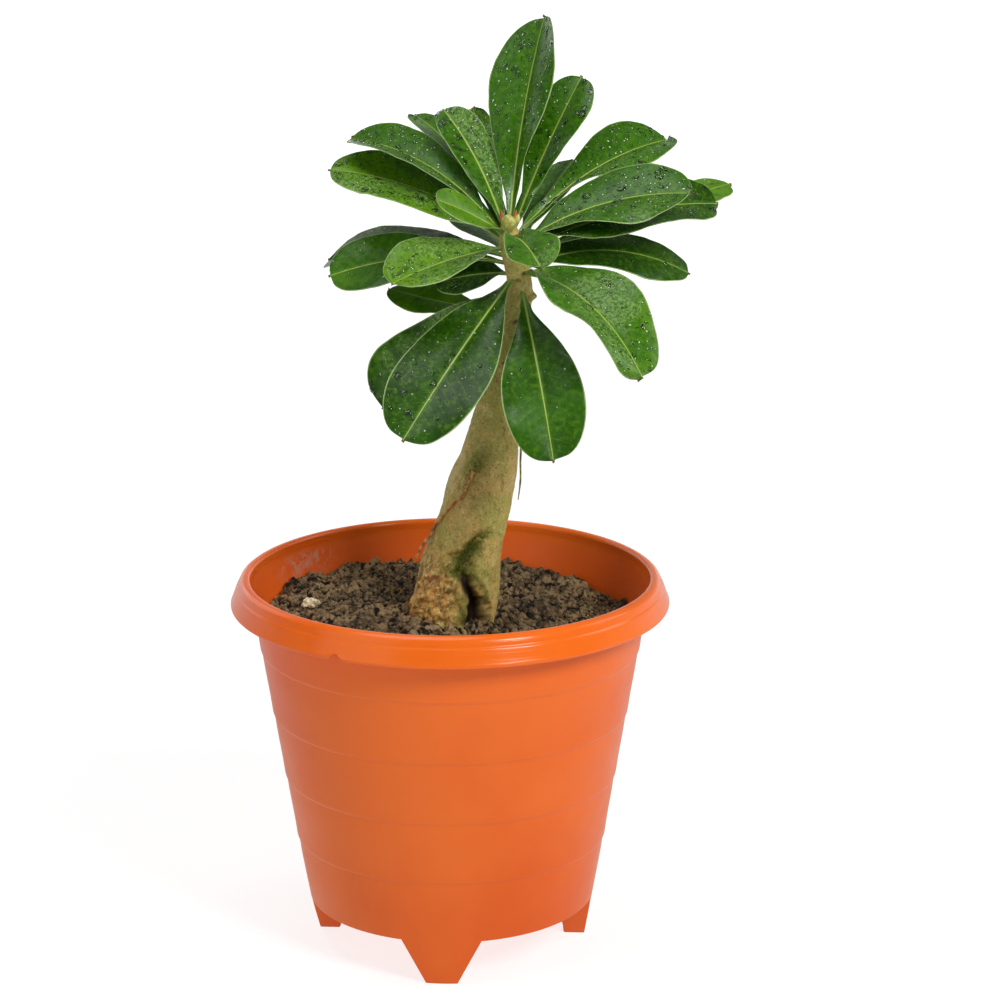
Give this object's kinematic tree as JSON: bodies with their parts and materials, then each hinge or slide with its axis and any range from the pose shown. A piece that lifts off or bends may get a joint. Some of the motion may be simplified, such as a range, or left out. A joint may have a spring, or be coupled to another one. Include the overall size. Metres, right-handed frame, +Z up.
{
  "type": "potted plant",
  "caption": "Young desert rose plant with a swollen leaning stem and a crown of broad glossy leaves, in a round orange plastic pot on short feet.",
  "frame": {"origin": "middle of the whole object's plan at the level its feet stand on; the pot's axis lies 15.4 mm towards -X, because the crown leans towards +X", "axes": "+Z up, +X the way the stem leans, -Y the side with the front foot"},
  "size_m": [0.2308, 0.2, 0.4242],
  "materials": {
    "orange_plastic": "satin moulded plastic",
    "potting_soil": "moist crumbly potting mix",
    "bark": "thin matt bark",
    "leaf_green": "waxy and wet",
    "bud_green": "smooth",
    "bud_red": "smooth",
    "dry_straw": "dry and matt",
    "pale_mineral": "matt crumb"
  },
  "bodies": {
    "root": {"bud": "bud_green", "dry_strand": "dry_straw", "dry_thread": "dry_straw", "leaf_01": "leaf_green", "leaf_02": "leaf_green", "leaf_03": "leaf_green", "leaf_04": "leaf_green", "leaf_05": "leaf_green", "leaf_06": "leaf_green", "leaf_07": "leaf_green", "leaf_08": "leaf_green", "leaf_09": "leaf_green", "leaf_10": "leaf_green", "leaf_11": "leaf_green", "leaf_12": "leaf_green", "leaf_13": "leaf_green", "leaf_14": "leaf_green", "leaf_15": "leaf_green", "leaf_16": "leaf_green", "leaf_17": "leaf_green", "leaf_18": "leaf_green", "leaf_19": "leaf_green", "leaf_20": "leaf_green", "leaf_21": "leaf_green", "leaf_22": "leaf_green", "leaf_23": "leaf_green", "leaf_24": "leaf_green", "leaf_25": "leaf_green", "pale_crumb": "pale_mineral", "pot": "orange_plastic", "red_scale_left": "bud_red", "red_scale_right": "bud_red", "side_bud": "bud_green", "soil": "potting_soil", "stem": "bark"}
  },
  "joints": []
}
